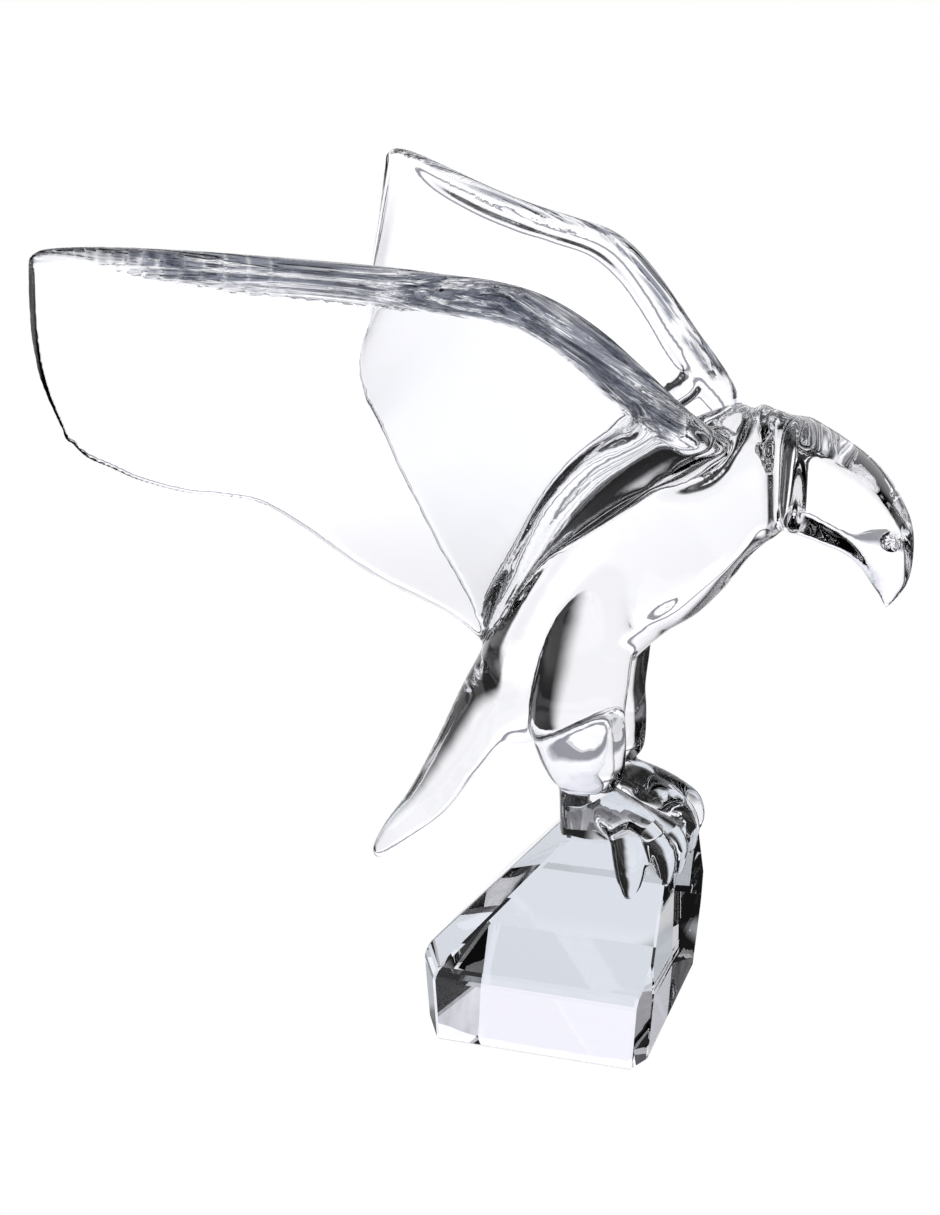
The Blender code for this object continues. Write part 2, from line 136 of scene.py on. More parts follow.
tree = room.node_tree
tree.nodes.clear()
direction = tree.nodes.new('ShaderNodeTexCoord').outputs["Generated"]
upward = value_node(tree, 'ShaderNodeVectorMath', 'DOT_PRODUCT', direction, (0, 0, 1))
climb = value_node(tree, 'ShaderNodeMath', 'ARCSINE', upward)
climb = value_node(tree, 'ShaderNodeMath', 'DIVIDE', climb, math.pi / 2)
height = tree.nodes.new('ShaderNodeValToRGB')
ramp = height.color_ramp
# share of the way from the horizon to overhead, and the light there
for share, colour in ((0.03, (0.34, 0.34, 0.38)), (0.06, (1.2, 1.2, 1.24)),
                      (0.23, (1.12, 1.12, 1.16)), (0.28, (1.03, 1.02, 1.10)),
                      (0.40, (0.98, 0.98, 1.06)), (0.455, (0.78, 0.82, 0.88)),
                      (0.63, (0.78, 0.82, 0.88)), (0.67, (0.02, 0.02, 0.025))):
    stop = ramp.elements.new(share)
    stop.color = (*colour, 1)
ramp.elements[0].color = (0.34, 0.34, 0.38, 1)
ramp.elements[-1].color = (0.02, 0.02, 0.02, 1)
tree.links.new(climb, height.inputs["Fac"])
ahead, across, sector = bright_sector(tree, direction, 0)
# light low down on the other sides, too
aside = value_node(tree, 'ShaderNodeMath', 'MAXIMUM', soft_step(tree, across, -0.6, -0.9),
                   soft_step(tree, ahead, -0.6, -0.9))
aside = value_node(tree, 'ShaderNodeMath', 'MULTIPLY', aside,
                   soft_step(tree, climb, 0.15, 0.3, 0.85, 0.26))
low = value_node(tree, 'ShaderNodeMath', 'MULTIPLY', soft_step(tree, across, 0.6, 0.9),
                 soft_step(tree, climb, 0.08, 0.2, 0.85, 0))
aside = value_node(tree, 'ShaderNodeMath', 'MAXIMUM', aside, low)
wall = tree.nodes.new('ShaderNodeBackground')
tree.links.new(height.outputs["Color"], wall.inputs["Color"])
tree.links.new(value_node(tree, 'ShaderNodeMath', 'MAXIMUM', sector, aside),
               wall.inputs["Strength"])
white = tree.nodes.new('ShaderNodeBackground')
white.inputs["Color"].default_value = (1, 1, 1, 1)
which = tree.nodes.new('ShaderNodeMixShader')
tree.links.new(tree.nodes.new('ShaderNodeLightPath').outputs["Is Camera Ray"],
               which.inputs["Fac"])
tree.links.new(wall.outputs["Background"], which.inputs[1])
tree.links.new(white.outputs["Background"], which.inputs[2])
sky = tree.nodes.new('ShaderNodeOutputWorld')
tree.links.new(which.outputs["Shader"], sky.inputs["Surface"])
bpy.context.scene.view_settings.view_transform = 'Standard'

camera_data = bpy.data.cameras.new("camera")
camera = bpy.data.objects.new("camera", camera_data)
bpy.context.scene.collection.objects.link(camera)
bpy.context.scene.camera = camera
camera_data.lens = 62.8
STAND_OFF = 0.65
looks_at = Vector((-0.031, 0, 0.1274))
around, above = math.radians(18), math.radians(18)
away = Vector((math.sin(around) * math.cos(above), -math.cos(around) * math.cos(above),
               math.sin(above)))
camera.location = looks_at + STAND_OFF * away
camera.rotation_euler = (-away).to_track_quat('-Z', 'Y').to_euler()
camera_data.clip_start = 0.01
camera_data.clip_end = 100


# Eagle's body: one heavy gather of crystal, drawn out while hot into the neck and the hooked
# beak at the front and into the roof-shaped tail behind.

PERCH = Vector((0.0375, 0, 0.064))     # middle of the front edge of the block's top
SHARE = 0.00187                        # a hundredth of the eagle's height above the perch


def from_perch(x, y, z):
    return PERCH + SHARE * Vector((x, y, z))


def ease_between(rows, steps):
    """Rows of sizes with more rows put in between them, on a smooth curve."""
    out = []
    for i in range(len(rows) - 1):
        before, after = rows[max(i - 1, 0)], rows[min(i + 2, len(rows) - 1)]
        for k in range(steps):
            t = k / steps
            out.append([
                0.5 * (2 * q + (r - p) * t + (2 * p - 5 * q + 4 * r - s) * t ** 2
                       + (3 * q - p - 3 * r + s) * t ** 3)
                for p, q, r, s in zip(before, rows[i], rows[i + 1], after)])
    return out + [list(rows[-1])]


def draw_out(name, rings):
    """A flat disc that is extruded again and again, its end set to the next ring each time."""
    bpy.ops.object.select_all(action='DESELECT')
    bpy.ops.mesh.primitive_circle_add(vertices=len(rings[0]), radius=0.01, fill_type='NGON')
    form = bpy.context.object
    form.name = name
    bpy.ops.object.mode_set(mode='EDIT')
    for number, ring in enumerate(rings):
        if number:
            bpy.ops.mesh.extrude_region_move()
        hot = bmesh.from_edit_mesh(form.data)
        end = next(face for face in hot.faces if face.select)
        for corner, place in zip(end.loops, ring):
            corner.vert.co = place
        bmesh.update_edit_mesh(form.data)
    bpy.ops.mesh.select_all(action='SELECT')
    bpy.ops.mesh.normals_make_consistent(inside=False)
    bpy.ops.object.mode_set(mode='OBJECT')
    return form


# back (x, z), belly (x, z), half width, squareness of the shoulder, roof shape, flat of the cheek
body_rows = (
    (30.7, 40.4, 30.2, 40.8, 0.5, 0, 0, 1),
    (32.4, 42.6, 29.4, 42.5, 1.2, 0, 0, 1),
    (33.8, 45.4, 28.0, 44.5, 2.2, 0, 0, 1.2),
    (34.2, 50.0, 26.5, 46.9, 3.9, 0, 0, 1.4),
    (33.5, 54.4, 24.5, 49.0, 5.3, 0, 0, 1.55),
    (31.0, 58.9, 22.8, 50.0, 6.4, 0, 0, 1.6),
    (27.5, 62.9, 21.0, 50.6, 7.2, 0, 0, 1.6),
    (22.9, 66.1, 18.0, 51.6, 7.9, 0, 0, 1.6),
    (17.7, 68.8, 15.9, 52.1, 8.7, 0, 0, 1.6),
    (16.4, 69.4, 15.3, 51.9, 8.3, 0, 0, 1.5),
    (14.8, 69.6, 14.6, 51.9, 5.9, 0, 0, 1.3),
    (13.2, 70.1, 14.0, 51.5, 6.1, 0, 0, 1.3),
    (11.6, 70.2, 13.3, 50.7, 8.6, 0, 0, 1.3),
    (9.0, 70.4, 12.2, 50.0, 9.3, 0.1, 0, 1.3),
    (5.6, 62.6, 10.2, 48.0, 10.1, 0.7, 0, 1.4),
    (0.4, 59.6, 7.7, 44.6, 10.8, 1, 0, 1.4),
    (-7.4, 58.9, 4.8, 40.6, 11.0, 1, 0, 1.4),
    (-15.6, 52.9, 1.4, 37.0, 11.0, 1, 0, 1.4),
    (-22.6, 45.4, -2.4, 34.3, 10.7, 0.9, 0, 1.3),
    (-28.6, 36.8, -6.6, 30.4, 10.0, 0.7, 0, 1.2),
    (-32.8, 30.4, -12.4, 23.6, 9.0, 0.4, 0, 1.1),
    (-35.6, 25.2, -21.5, 13.2, 7.8, 0.1, 0.2, 1),
    (-38.4, 19.6, -28.6, 10.9, 6.8, 0, 0.25, 1),
    (-42.7, 10.0, -34.2, 5.4, 6.0, 0, 0.3, 1),
    (-47.5, 0.4, -40.3, -2.8, 4.9, 0, 0.25, 1),
    (-51.9, -6.2, -46.4, -8.2, 3.6, 0, 0.2, 1),
    (-54.2, -10.8, -50.6, -11.6, 2.2, 0, 0.2, 1),
    (-54.2, -12.8, -52.6, -13.2, 1.0, 0, 0.2, 1),
)
BODY_POINTS = 64
SQUARING = 0.45         # how far a square shoulder pushes the round section out
EAVE = 2 / 3            # how far round the section the tail's lower edge comes
body_rings = []
for back_x, back_z, belly_x, belly_z, half, square, roof, flat in ease_between(body_rows, 6):
    back, belly = from_perch(back_x, 0, back_z), from_perch(belly_x, 0, belly_z)
    square, roof = max(0, min(1, square)), max(0, min(1, roof))
    ring = []
    for i in range(BODY_POINTS):
        angle = 2 * math.pi * i / BODY_POINTS
        side = 1 if i <= BODY_POINTS // 2 else -1
        turn = min(i, BODY_POINTS - i) / (BODY_POINTS / 2)
        wide, high = abs(math.sin(angle)), math.cos(angle)
        if high > 0:
            power = 1 - SQUARING * square
            wide, high = wide ** power, high ** power
        wide = min(wide * max(flat, 1), 1)
        # the roof shape: straight out and down to the eave, then in and a little up beneath it
        if turn < EAVE:
            roof_wide, roof_high = 1.5 * turn, 1 - 3 * turn
        else:
            roof_wide, roof_high = 3 - 3 * turn, 1.8 * turn - 2.2
        wide += (roof_wide - wide) * roof
        high += (roof_high - high) * roof
        ring.append((back + belly) / 2 + (back - belly) / 2 * high
                    + Vector((0, side * wide * half * SHARE, 0)))
    body_rings.append(ring)
eagle = draw_out("clear_crystal_eagle", body_rings)

# the ridge of the back, between the two wings: back (x, z), underside (x, z), half width
ridge_rows = (
    (10.4, 68.6, 7.0, 60.0, 4.6),
    (7.0, 70.8, 4.0, 57.4, 7.4),
    (2.0, 69.4, -1.2, 54.4, 8.0),
    (-4.6, 65.8, -7.4, 51.0, 8.1),
    (-11.6, 60.6, -13.4, 46.6, 7.8),
    (-18.2, 53.8, -19.4, 41.6, 7.2),
    (-24.4, 45.8, -25.0, 35.6, 6.2),
    (-29.6, 37.2, -29.6, 30.0, 4.6),
    (-32.8, 31.0, -31.6, 26.6, 2.6),
)
RIDGE_POINTS = 40
ridge_rings = []
for back_x, back_z, under_x, under_z, half in ease_between(ridge_rows, 5):
    back, under = from_perch(back_x, 0, back_z), from_perch(under_x, 0, under_z)
    ridge_rings.append([
        (back + under) / 2 + (back - under) / 2 * math.cos(angle)
        + Vector((0, half * SHARE * math.sin(angle), 0))
        for angle in (2 * math.pi * i / RIDGE_POINTS for i in range(RIDGE_POINTS))])
forms = [eagle, draw_out("ridge", ridge_rings)]


# Wings: two plates pressed from the same crystal, with a thick rolled rim along the leading
# edge, swept up, out and back.

WING_RIM, WING_WEB, WING_BACK_EDGE = 0.0120, 0.0052, 0.0026     # thicknesses
RIM_TURNS = (-1, -0.95, -0.8, -0.6, -0.35, 0, 0.3, 0.6, 0.9, 1.2, 1.5, 1.8)     # in rim radii
RIM_FADE = 1.15         # rim radii over which the rim thins down to the plate
PLATE_STEPS = 12
CAMBER = 0.035          # how far the plate bows inward, as a share of its width
ROOT_ROWS = 11          # rows nearest the body, which the streaks leave out
# leading edge (x, y, z), trailing edge (x, y, z), share of the rim's thickness, bulge
wing_rows = (
    (7.2, 2.5, 65.0, -33.6, 0.6, 28.6, 0.45, 0),
    (4.6, 8.6, 66.8, -34.6, 2.0, 30.4, 0.58, 0),
    (-0.3, 14.4, 70.7, -37.0, 4.6, 33.8, 0.88, 0),
    (-6.3, 17.2, 76.8, -40.6, 8.0, 37.2, 0.93, 0),
    (-11.4, 20.6, 82.5, -45.4, 12.6, 41.2, 0.86, 0),
    (-17.2, 25.1, 87.5, -50.0, 17.2, 45.8, 0.8, 0),
    (-23.1, 29.5, 90.3, -56.1, 22.6, 52.6, 0.79, 0),
    (-30.7, 33.2, 91.7, -60.8, 27.8, 57.4, 0.78, 0),
    (-38.1, 36.8, 92.9, -64.8, 33.2, 59.6, 0.76, 0),
    (-47.5, 43.5, 94.5, -68.4, 38.5, 61.2, 0.73, 0),
    (-59.0, 53.7, 96.8, -72.1, 45.5, 64.4, 0.64, 0.5),
    (-67.6, 62.2, 98.9, -74.1, 50.8, 67.4, 0.4, 1.3),
    (-72.6, 67.0, 99.4, -75.4, 55.4, 69.9, 0.32, 2.1),
    (-74.1, 68.3, 98.9, -76.0, 58.4, 72.7, 0.28, 2.3),
)
ROUND_END = ((0, 1), (0.26, 0.97), (0.5, 0.87), (0.71, 0.71), (0.87, 0.5), (0.97, 0.26))


def wing_section(front, back, outward, radius, bulge, side, shift, size):
    """One closed section: back along the wing's outer face and forward along its inner one."""
    along = back - front
    chord = along.length
    along.normalize()
    outward = (outward - along * outward.dot(along)).normalized()
    face = outward.cross(along) * side
    distances = [radius * turn for turn in RIM_TURNS]
    rim_end = distances[-1]
    distances += [rim_end + (chord - rim_end) * step / PLATE_STEPS
                  for step in range(1, PLATE_STEPS + 1)]
    section = []
    for distance in distances:
        if distance < 0:
            half = math.sqrt(radius ** 2 - distance ** 2)
        else:
            plate = (WING_WEB + (WING_BACK_EDGE - WING_WEB) * distance / chord) / 2
            fade = min(distance / (RIM_FADE * radius), 1)
            half = plate + max(radius - plate, 0) * (0.5 + 0.5 * math.cos(math.pi * fade))
        section.append((distance, half))
    edge = WING_BACK_EDGE / 2
    section += [(chord + edge * turn, edge * high) for turn, high in ROUND_END[1:]]
    outer, inner = [], []
    for distance, half in section:
        hump = math.sin(math.pi * max(min(distance / chord, 1), 0))
        middle = front + along * distance + outward * (bulge * hump + shift * radius)
        middle -= face * CAMBER * chord * hump
        outer.append(middle + face * half * size)
        inner.append(middle - face * half * size)
    heel = back + along * edge + outward * shift * radius
    return outer + [heel] + inner[:0:-1]


rim_places = []
for side in (-1, 1):
    rows = ease_between(wing_rows, 5)
    fronts = [from_perch(row[0], side * row[1], row[2]) for row in rows]
    backs = [from_perch(row[3], side * row[4], row[5]) for row in rows]
    middles = [(front + back) / 2 for front, back in zip(fronts, backs)]
    sections = []
    for i, row in enumerate(rows):
        outward = middles[min(i + 1, len(rows) - 1)] - middles[max(i - 1, 0)]
        radius = row[6] * WING_RIM / 2
        if side == 1 and i >= ROOT_ROWS:
            rim_places.append((fronts[i], radius))
        for shift, size in ROUND_END if i == len(rows) - 1 else ((0, 1),):
            inward = (backs[i] - fronts[i]).normalized() * radius * (1 - size)
            sections.append(wing_section(fronts[i] + inward, backs[i] - 2 * inward, outward,
                                         radius, row[7] * SHARE, side, shift, size))
    forms.append(draw_out("wing", sections))


# Lips and toes: round ropes of hot crystal, one laid along each wing's root and four pressed
# over the block's front edge for each foot.

LIMB_POINTS = 20
# middle (x, y, z) and radius
lip_rows = (
    (-8.0, 17.6, 76.4, 1.6),
    (-5.0, 17.3, 75.0, 2.1),
    (-3.2, 17.0, 72.8, 2.3),
    (-4.4, 16.4, 69.8, 2.3),
    (-8.4, 15.7, 66.8, 2.2),
    (-12.9, 14.8, 63.5, 2.1),
    (-16.9, 13.7, 59.2, 2.0),
    (-20.3, 12.5, 54.5, 1.8),
    (-23.6, 11.0, 48.8, 1.7),
    (-26.6, 9.4, 43.5, 1.6),
    (-29.5, 7.6, 37.9, 1.4),
    (-31.6, 6.0, 33.5, 1.1),
)
inner_toe_rows = (
    (-10.8, 6.4, 5.0, 3.0),
    (-6.9, 5.8, 3.2, 2.7),
    (-3.8, 5.1, 1.9, 2.4),
    (-1.1, 4.6, 0.4, 2.2),
    (0.2, 4.5, -2.4, 1.9),
    (0.2, 4.4, -5.8, 1.2),
)
middle_toe_rows = (
    (-10.8, 6.8, 5.0, 3.0),
    (-6.7, 7.9, 3.6, 2.8),
    (-3.6, 9.2, 1.9, 2.5),
    (-1.2, 10.2, -0.1, 2.3),
    (-0.3, 11.0, -2.8, 1.8),
    (-0.3, 11.4, -4.8, 1.2),
)
outer_toe_rows = (
    (-11.2, 7.4, 4.8, 3.0),
    (-8.6, 8.8, 3.4, 3.0),
    (-6.9, 10.1, 1.4, 2.9),
    (-6.0, 11.3, -1.8, 2.9),
    (-5.6, 12.4, -4.8, 2.4),
    (-5.4, 13.4, -7.0, 1.3),
)
rear_toe_rows = (
    (-14.4, 6.4, 3.6, 2.6),
    (-16.4, 6.6, 1.8, 2.0),
    (-17.6, 6.8, 0.6, 1.5),
)


def rope(name, rows, side):
    """A round rope along the rows' middles, with rounded ends."""
    rows = ease_between(rows, 5)
    places = [from_perch(x, side * y, z) for x, y, z, _ in rows]
    rings = []
    for i, row in enumerate(rows):
        along = places[min(i + 1, len(rows) - 1)] - places[max(i - 1, 0)]
        turn = along.to_track_quat('Z', 'Y')
        radius = row[3] * SHARE
        steps = ((0, 1),)
        if i == 0:
            steps = [(-shift, size) for shift, size in reversed(ROUND_END)]
        elif i == len(rows) - 1:
            steps = ROUND_END
        for shift, size in steps:
            rings.append([
                places[i] + turn @ Vector((radius * size * math.cos(a),
                                           radius * size * math.sin(a), radius * shift))
                for a in (2 * math.pi * k / LIMB_POINTS for k in range(LIMB_POINTS))])
    return draw_out(name, rings)


for side in (-1, 1):
    for name, rows in (("lip", lip_rows), ("inner_toe", inner_toe_rows),
                       ("middle_toe", middle_toe_rows), ("outer_toe", outer_toe_rows),
                       ("rear_toe", rear_toe_rows)):
        forms.append(rope(name, rows, side))


# Legs: two deep thighs that taper to the ankles and spread again where they stand on the block.

# x, z, how far out, half sizes along and across
leg_rows = (
    (-11.6, 51.0, 0.50, 2.6, 3.0),
    (-12.2, 47.6, 0.62, 4.6, 4.8),
    (-13.2, 42.5, 0.74, 6.2, 5.6),
    (-14.4, 36.5, 0.84, 7.2, 5.9),
    (-15.0, 31.0, 0.93, 7.5, 5.9),
    (-15.6, 25.7, 0.98, 7.6, 5.8),
    (-16.1, 20.9, 1.0, 7.6, 5.7),
    (-16.0, 16.6, 1.0, 7.8, 5.4),
    (-15.4, 12.6, 1.0, 7.2, 4.9),
    (-14.9, 10.2, 1.0, 6.4, 4.6),
    (-14.8, 8.8, 1.0, 5.6, 4.2),
    (-14.7, 7.7, 1.0, 4.5, 3.4),
    (-14.5, 4.3, 1.0, 4.5, 3.2),
    (-14.0, 1.6, 1.0, 4.9, 3.1),
    (-13.4, -2.1, 1.0, 5.2, 2.8),
)
LEG_POINTS = 32
ANKLE_OUT = 0.013       # from the eagle's middle plane to the middle of an ankle
for side in (-1, 1):
    rings = []
    for x, z, out, deep, wide in ease_between(leg_rows, 5):
        middle = from_perch(x, 0, z) + Vector((0, side * out * ANKLE_OUT, 0))
        rings.append([
            middle + SHARE * Vector((deep * math.cos(a), wide * math.sin(a), 0))
            for a in (2 * math.pi * k / LEG_POINTS for k in range(LEG_POINTS))])
    forms.append(draw_out("leg", rings))

# Fire polish: the forms run together into one skin while the crystal is soft. Past their roots
# the wings keep the surface they were drawn to.
# how far from the middle a wing's own surface starts, and over how much it blends in
ROOT_WIDTH, ROOT_BLEND = 0.036, 0.008
drawn_forms = []
for form in forms:
    if form.name.startswith("wing"):
        drawn = form.copy()
        drawn.data = form.data.copy()
        drawn.name = "drawn_" + form.name
        bpy.context.scene.collection.objects.link(drawn)
        even = drawn.modifiers.new("even", 'SUBSURF')
        even.levels = even.render_levels = 2
        bpy.context.view_layer.objects.active = drawn
        bpy.ops.object.modifier_apply(modifier="even")
        drawn_forms.append(drawn)
bpy.ops.object.select_all(action='DESELECT')
for form in forms:
    form.select_set(True)
bpy.context.view_layer.objects.active = eagle
bpy.ops.object.join()
melt = eagle.modifiers.new("melt", 'REMESH')
melt.mode = 'VOXEL'
melt.voxel_size = 0.0008
bpy.ops.object.modifier_apply(modifier="melt")
flow = eagle.modifiers.new("flow", 'SMOOTH')
flow.factor = 0.5
flow.iterations = 9
bpy.ops.object.modifier_apply(modifier="flow")
for drawn in drawn_forms:
    group = eagle.vertex_groups.new(name=drawn.name)
    for corner in eagle.data.vertices:
        x, y, z = corner.co
        share = ((y if drawn.data.vertices[0].co.y > 0 else -y) - ROOT_WIDTH) / ROOT_BLEND
        if share > 0:
            group.add([corner.index], min(share, 1), 'REPLACE')
    wrap = eagle.modifiers.new("wrap", 'SHRINKWRAP')
    wrap.target = drawn
    wrap.vertex_group = group.name
    bpy.ops.object.modifier_apply(modifier="wrap")
    bpy.data.objects.remove(drawn)
settle = eagle.modifiers.new("settle", 'SMOOTH')
settle.factor = 0.5
settle.iterations = 6
bpy.ops.object.modifier_apply(modifier="settle")
# where the wing meets the neck and the thigh meets the belly, the forms run together more
joint = eagle.vertex_groups.new(name="joint")
for corner in eagle.data.vertices:
    x, y, z = (corner.co - PERCH) / SHARE
    near = min(Vector((x - 3, abs(y) - 9, z - 65)).length,
               Vector((x + 5, abs(y) - 7, z - 35)).length + 2)
    if near < 10:
        joint.add([corner.index], min((10 - near) / 5, 1), 'REPLACE')
knead = eagle.modifiers.new("knead", 'SMOOTH')
knead.vertex_group = joint.name
knead.factor = 0.5
knead.iterations = 30
bpy.ops.object.modifier_apply(modifier="knead")

# an eye pressed into each side of the head, above the beak's tip
eye = from_perch(31.7, 6.2, 52.4)
EYE_RADIUS, EYE_DEPTH = 0.0036, 0.0009
for corner in eagle.data.vertices:
    x, y, z = corner.co
    deep = 1 - (Vector((x, abs(y), z)) - eye).length / EYE_RADIUS
    if deep > 0:
        corner.co -= EYE_DEPTH * (3 * deep ** 2 - 2 * deep ** 3) * corner.normal
thin = eagle.modifiers.new("thin", 'DECIMATE')
thin.ratio = 0.40
bpy.ops.object.modifier_apply(modifier="thin")
bpy.ops.object.shade_smooth()


# Block: one piece of clear crystal with the eagle, ground flat, its edges broken and every face
# polished. The eagle stands on its small flat top.

HALF_LENGTH, HALF_WIDTH = 0.0375, 0.0415            # at the girdle
FOOT_HALF_LENGTH, FOOT_HALF_WIDTH = 0.0357, 0.0397
TOP_REAR, TOP_HALF_WIDTH, TOP_CORNER = 0.001, 0.019, -0.008
REAR_CORNER_Y, REAR_CORNER_X, REAR_SKEW_X = -0.0265, -0.0295, -0.0305
BLOCK_HEIGHT, GIRDLE_HEIGHT = 0.064, 0.0235
GIRDLE_BEVEL, EDGE_BEVEL = 0.0018, 0.0007
bpy.ops.object.select_all(action='DESELECT')
bpy.ops.mesh.primitive_cube_add(size=1, location=(0, 0, BLOCK_HEIGHT / 2),
                                scale=(2 * HALF_LENGTH, 2 * HALF_WIDTH, BLOCK_HEIGHT))
block = bpy.context.object
block.name = "block"
bpy.ops.object.transform_apply(location=True, rotation=True, scale=True)
bpy.ops.object.mode_set(mode='EDIT')


def grind_flat(*points):
    """One flat ground on the block: all that lies outside the plane goes."""
    a, b, c = (Vector(point) for point in points)
    normal = (b - a).cross(c - a).normalized()
    if normal.dot(a - Vector((0, 0, BLOCK_HEIGHT / 2))) < 0:
        normal.negate()
    bpy.ops.mesh.select_all(action='SELECT')
    bpy.ops.mesh.bisect(plane_co=a, plane_no=normal, use_fill=True, clear_outer=True,
                        threshold=1e-7)


# rear slope and rear of the plinth, a little askew
rear_corner = (-HALF_LENGTH, REAR_CORNER_Y, GIRDLE_HEIGHT)
rear_far = (REAR_SKEW_X, HALF_WIDTH, GIRDLE_HEIGHT)
rear_top = (TOP_REAR, TOP_CORNER, BLOCK_HEIGHT)
rear_foot = (-FOOT_HALF_LENGTH, REAR_CORNER_Y, 0)
grind_flat(rear_corner, rear_far, rear_top)
grind_flat(rear_corner, rear_far, rear_foot)
# front of the plinth
grind_flat((HALF_LENGTH, -1, GIRDLE_HEIGHT), (HALF_LENGTH, 1, GIRDLE_HEIGHT),
           (FOOT_HALF_LENGTH, 0, 0))
# rear corner on the right
rear_near = (REAR_CORNER_X, -HALF_WIDTH, GIRDLE_HEIGHT)
grind_flat(rear_corner, rear_near, rear_top)
grind_flat(rear_corner, rear_near, rear_foot)
for side in (-1, 1):
    # leaning flank, side of the plinth, front corner of the plinth
    flank = ((-1, side * HALF_WIDTH, GIRDLE_HEIGHT), (1, side * HALF_WIDTH, GIRDLE_HEIGHT))
    grind_flat(*flank, (0, side * TOP_HALF_WIDTH, BLOCK_HEIGHT))
    grind_flat(*flank, (0, side * FOOT_HALF_WIDTH, 0))
    grind_flat((HALF_LENGTH, side * 0.028, 0), (0.0315, side * HALF_WIDTH, 0),
               (HALF_LENGTH, side * 0.0334, GIRDLE_HEIGHT))
bpy.ops.mesh.select_all(action='DESELECT')
bpy.ops.mesh.select_mode(type='EDGE')
ground = bmesh.from_edit_mesh(block.data)
for edge in ground.edges:
    edge.select_set(all(abs(corner.co.z - GIRDLE_HEIGHT) < 0.0002 for corner in edge.verts))
bpy.ops.mesh.bevel(offset=GIRDLE_BEVEL, segments=1, affect='EDGES')
bpy.ops.mesh.select_all(action='DESELECT')
ground = bmesh.from_edit_mesh(block.data)
# every sharp edge except those of the foot on the far side
for edge in ground.edges:
    edge.select_set(edge.calc_face_angle(0) > math.radians(12)
                    and max(corner.co.z - corner.co.y for corner in edge.verts) > EDGE_BEVEL)
bpy.ops.mesh.bevel(offset=EDGE_BEVEL, segments=1, affect='EDGES')
bpy.ops.object.mode_set(mode='OBJECT')

bpy.ops.object.select_all(action='DESELECT')
eagle.select_set(True)
bpy.context.view_layer.objects.active = eagle
cast = eagle.modifiers.new("cast", 'BOOLEAN')
cast.operation = 'UNION'
cast.solver = 'EXACT'
cast.object = block
bpy.ops.object.modifier_apply(modifier="cast")
bpy.data.objects.remove(block)
bpy.ops.object.shade_smooth_by_angle(angle=math.radians(28))
# the block's big faces are ground flat, so they shade flat
for face in eagle.data.polygons:
    if face.area > 1e-5:
        face.use_smooth = False

# how far each point lies within the wings' rolled rims, for the streaks there; on the far wing
# only along the rim's outer side, as the photo shows them
RIM_REACH = 1.4         # in rim radii, from the middle of the rim
rim_lines = kdtree.KDTree(2 * len(rim_places))
for number, (front, radius) in enumerate(rim_places + [(front * Vector((1, -1, 1)), radius)
                                                       for front, radius in rim_places]):
    rim_lines.insert(front, number)
rim_lines.balance()
# this rim mask carries the streaks' relief and roughness, and also the shade painted into them
rolled = eagle.data.attributes.new("rolled_rim", 'FLOAT', 'POINT')
for corner in eagle.data.vertices:
    _, number, distance = rim_lines.find(corner.co)
    radius = rim_places[number % len(rim_places)][1]
    fade = max(0.25 * radius, 0.0012)
    share = max(0, min(1, (RIM_REACH * radius - distance) / fade))
    if number < len(rim_places):
        outward = corner.normal.dot(Vector((0.6, 0, 0.8)))
        share = share * max(0, min(1, (outward - 0.15) / 0.3))
    rolled.data[corner.index].value = share

# PAINTED_SHADE is painted shade: a dark base colour for the rims' streaks, standing in for the
# dark that they refract
CLEAR, PAINTED_SHADE = (0.985, 0.987, 1.0, 1), (0.08, 0.09, 0.12, 1)
clear_crystal = bpy.data.materials.new("clear_crystal")
clear_crystal.use_nodes = True
tree = clear_crystal.node_tree
shader = tree.nodes["Principled BSDF"]
shader.inputs["Base Color"].default_value = CLEAR
shader.inputs["Metallic"].default_value = 0
shader.inputs["Roughness"].default_value = 0.0
shader.inputs["IOR"].default_value = 1.54
shader.inputs["Transmission Weight"].default_value = 1


def drawn_streaks(tree, place, along, scale):
    """Noise drawn out along one direction, as tool marks are in glass that was pulled hot."""
    reach = tree.nodes.new('ShaderNodeVectorMath')
    reach.operation = 'DOT_PRODUCT'
    reach.inputs[1].default_value = along
    tree.links.new(place, reach.inputs[0])
    pull = tree.nodes.new('ShaderNodeVectorMath')
    pull.operation = 'SCALE'
    pull.inputs[0].default_value = Vector(along) * 0.98
    tree.links.new(reach.outputs["Value"], pull.inputs["Scale"])
    left = tree.nodes.new('ShaderNodeVectorMath')
    left.operation = 'SUBTRACT'
    tree.links.new(place, left.inputs[0])
    tree.links.new(pull.outputs["Vector"], left.inputs[1])
    noise = tree.nodes.new('ShaderNodeTexNoise')
    noise.inputs["Scale"].default_value = scale
    noise.inputs["Detail"].default_value = 2
    noise.inputs["Roughness"].default_value = 0.5
    noise.inputs["Distortion"].default_value = 0.4
    tree.links.new(left.outputs["Vector"], noise.inputs["Vector"])
    return noise.outputs["Fac"]


place = tree.nodes.new('ShaderNodeTexCoord').outputs["Object"]
split = tree.nodes.new('ShaderNodeSeparateXYZ')
tree.links.new(place, split.inputs["Vector"])
width = value_node(tree, 'ShaderNodeMath', 'ABSOLUTE', split.outputs["Y"])
join = tree.nodes.new('ShaderNodeCombineXYZ')
tree.links.new(split.outputs["X"], join.inputs["X"])
tree.links.new(width, join.inputs["Y"])
tree.links.new(split.outputs["Z"], join.inputs["Z"])
STREAK_SCALE = 520
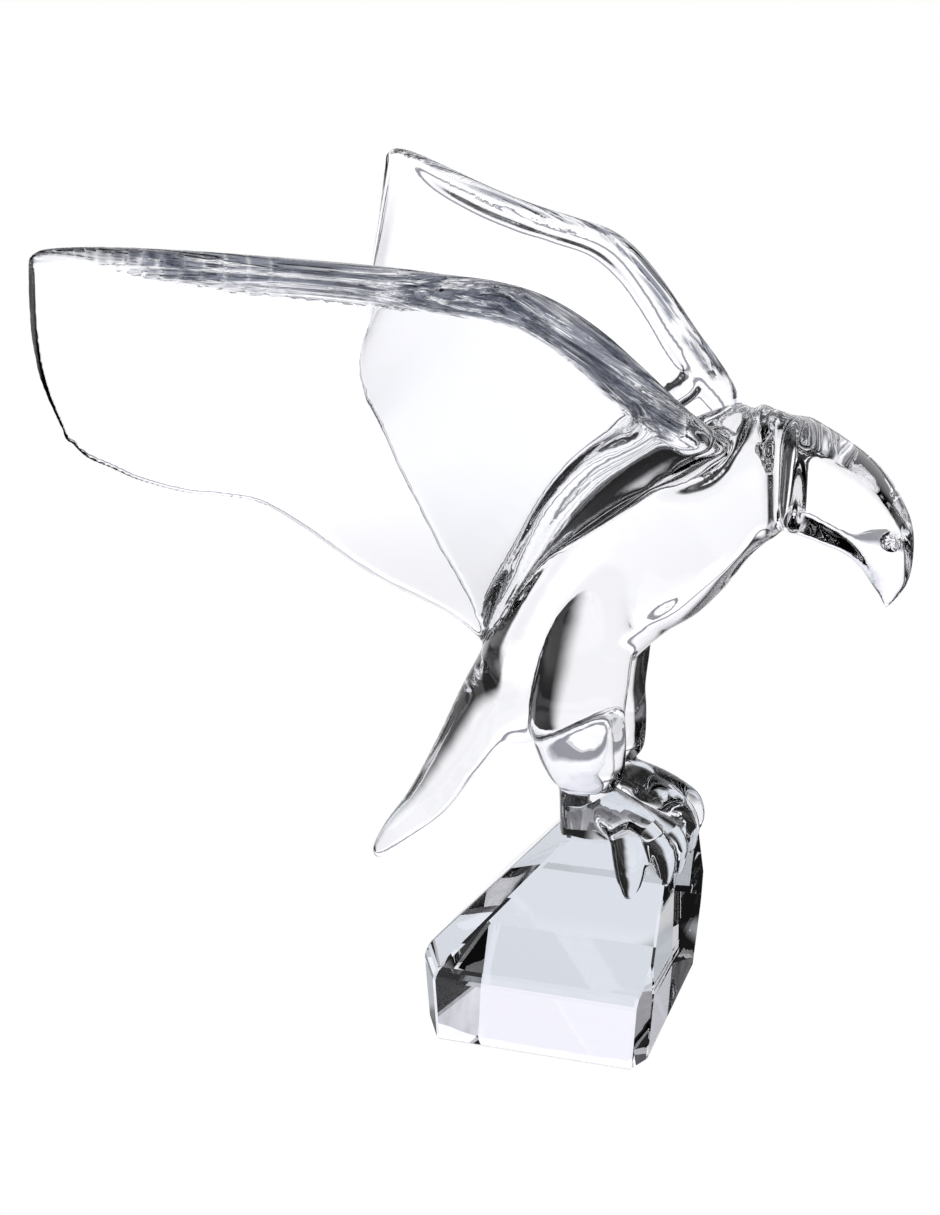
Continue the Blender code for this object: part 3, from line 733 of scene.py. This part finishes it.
# along the outer and the inner half of a rim
outer = drawn_streaks(tree, join.outputs["Vector"], (0.787, -0.600, -0.140), STREAK_SCALE)
inner = drawn_streaks(tree, join.outputs["Vector"], (0.690, -0.450, -0.567), STREAK_SCALE)
nearer = soft_step(tree, split.outputs["X"], -0.012, 0.004)
streaks = tree.nodes.new('ShaderNodeMix')
tree.links.new(nearer, streaks.inputs["Factor"])
tree.links.new(outer, streaks.inputs["A"])
tree.links.new(inner, streaks.inputs["B"])
rim = tree.nodes.new('ShaderNodeAttribute')
rim.attribute_name = "rolled_rim"
swell = tree.nodes.new('ShaderNodeTexNoise')
swell.inputs["Scale"].default_value = 60
swell.inputs["Detail"].default_value = 1
tree.links.new(place, swell.inputs["Vector"])
drawn = value_node(tree, 'ShaderNodeMath', 'SUBTRACT', streaks.outputs["Result"], 0.5)
drawn = value_node(tree, 'ShaderNodeMath', 'MULTIPLY', drawn, rim.outputs["Fac"])
surface = value_node(tree, 'ShaderNodeMath', 'MULTIPLY_ADD', swell.outputs["Fac"], 0.02, drawn)
from_eye = value_node(tree, 'ShaderNodeVectorMath', 'DISTANCE', join.outputs["Vector"],
                      eye)
curl = tree.nodes.new('ShaderNodeTexNoise')
curl.inputs["Scale"].default_value = 380
curl.inputs["Detail"].default_value = 1
curl.inputs["Distortion"].default_value = 1.5
tree.links.new(join.outputs["Vector"], curl.inputs["Vector"])
surface = value_node(tree, 'ShaderNodeMath', 'MULTIPLY_ADD', curl.outputs["Fac"],
                     soft_step(tree, from_eye, 0.0026, 0.0042, 2.4, 0), surface)
relief = tree.nodes.new('ShaderNodeBump')
relief.inputs["Strength"].default_value = 1
relief.inputs["Distance"].default_value = 0.0024
tree.links.new(surface, relief.inputs["Height"])
tree.links.new(relief.outputs["Normal"], shader.inputs["Normal"])
# painted shade: a dark tint in the rims' streaks stands in for the dark that fine tool marks
# refract
painted_shade_mask = value_node(tree, 'ShaderNodeMath', 'MULTIPLY', rim.outputs["Fac"],
                   soft_step(tree, streaks.outputs["Result"], 0.40, 0.54))
painted_shade_ramp = tree.nodes.new('ShaderNodeValToRGB')
painted_shade_ramp.color_ramp.elements[0].color = CLEAR
painted_shade_ramp.color_ramp.elements[1].color = PAINTED_SHADE
tree.links.new(painted_shade_mask, painted_shade_ramp.inputs["Fac"])
tree.links.new(painted_shade_ramp.outputs["Color"], shader.inputs["Base Color"])
tree.links.new(value_node(tree, 'ShaderNodeMath', 'MULTIPLY', rim.outputs["Fac"], 0.07),
               shader.inputs["Roughness"])
eagle.data.materials.clear()
eagle.data.materials.append(clear_crystal)
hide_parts("crystal_eagle")
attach(eagle, "root")
print("triangles", sum(len(face.vertices) - 2 for face in eagle.data.polygons))
